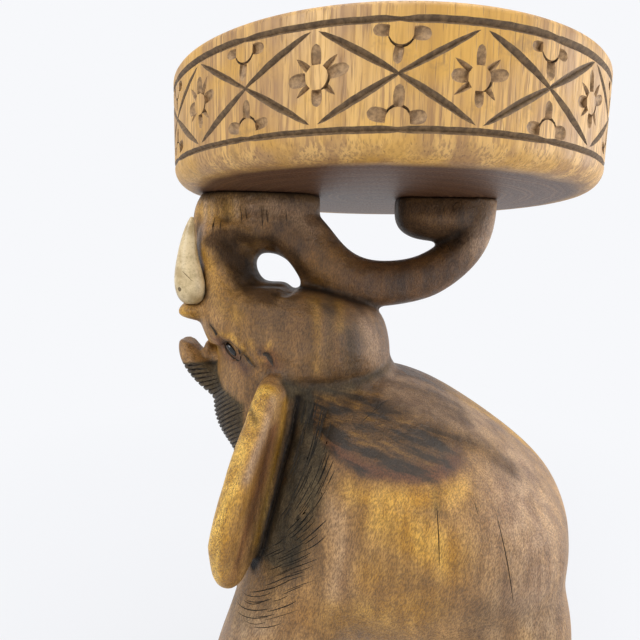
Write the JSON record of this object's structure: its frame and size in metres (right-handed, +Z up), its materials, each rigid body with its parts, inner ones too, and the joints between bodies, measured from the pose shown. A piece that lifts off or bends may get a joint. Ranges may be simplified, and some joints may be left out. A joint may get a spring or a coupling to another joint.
{
  "type": "carved elephant stool",
  "caption": "Low round stool carved in wood: a standing elephant lifts a thick disc seat on its looped trunk; lozenge and flower frieze around the seat edge.",
  "frame": {"origin": "on the floor, at the middle of the footprint, straight under the middle of the seat", "axes": "+Z up along the seat's axis; the elephant faces -X, so its left side is at -Y"},
  "size_m": [0.2682, 0.26, 0.46],
  "materials": {
    "seat_wood": "oiled hardwood, golden brown, satin lacquer",
    "trunk_wood": "carved hardwood, dark brown heartwood with golden sapwood, satin lacquer",
    "tusk_bone": "pale olive tan, smooth and slightly waxy",
    "eye_black": "glossy black",
    "brad_steel": "dull, darkened",
    "dowel_wood": "bare turned hardwood"
  },
  "bodies": {
    "root": {"seat_top": "seat_wood", "elephant_body": "trunk_wood", "tusk_left": "tusk_bone", "tusk_right": "tusk_bone", "tusk_brad_left": "brad_steel", "tusk_brad_right": "brad_steel", "eye_left": "eye_black", "eye_right": "eye_black", "seat_dowel_front_left": "dowel_wood", "seat_dowel_front_right": "dowel_wood", "seat_dowel_tip": "dowel_wood"}
  },
  "joints": []
}
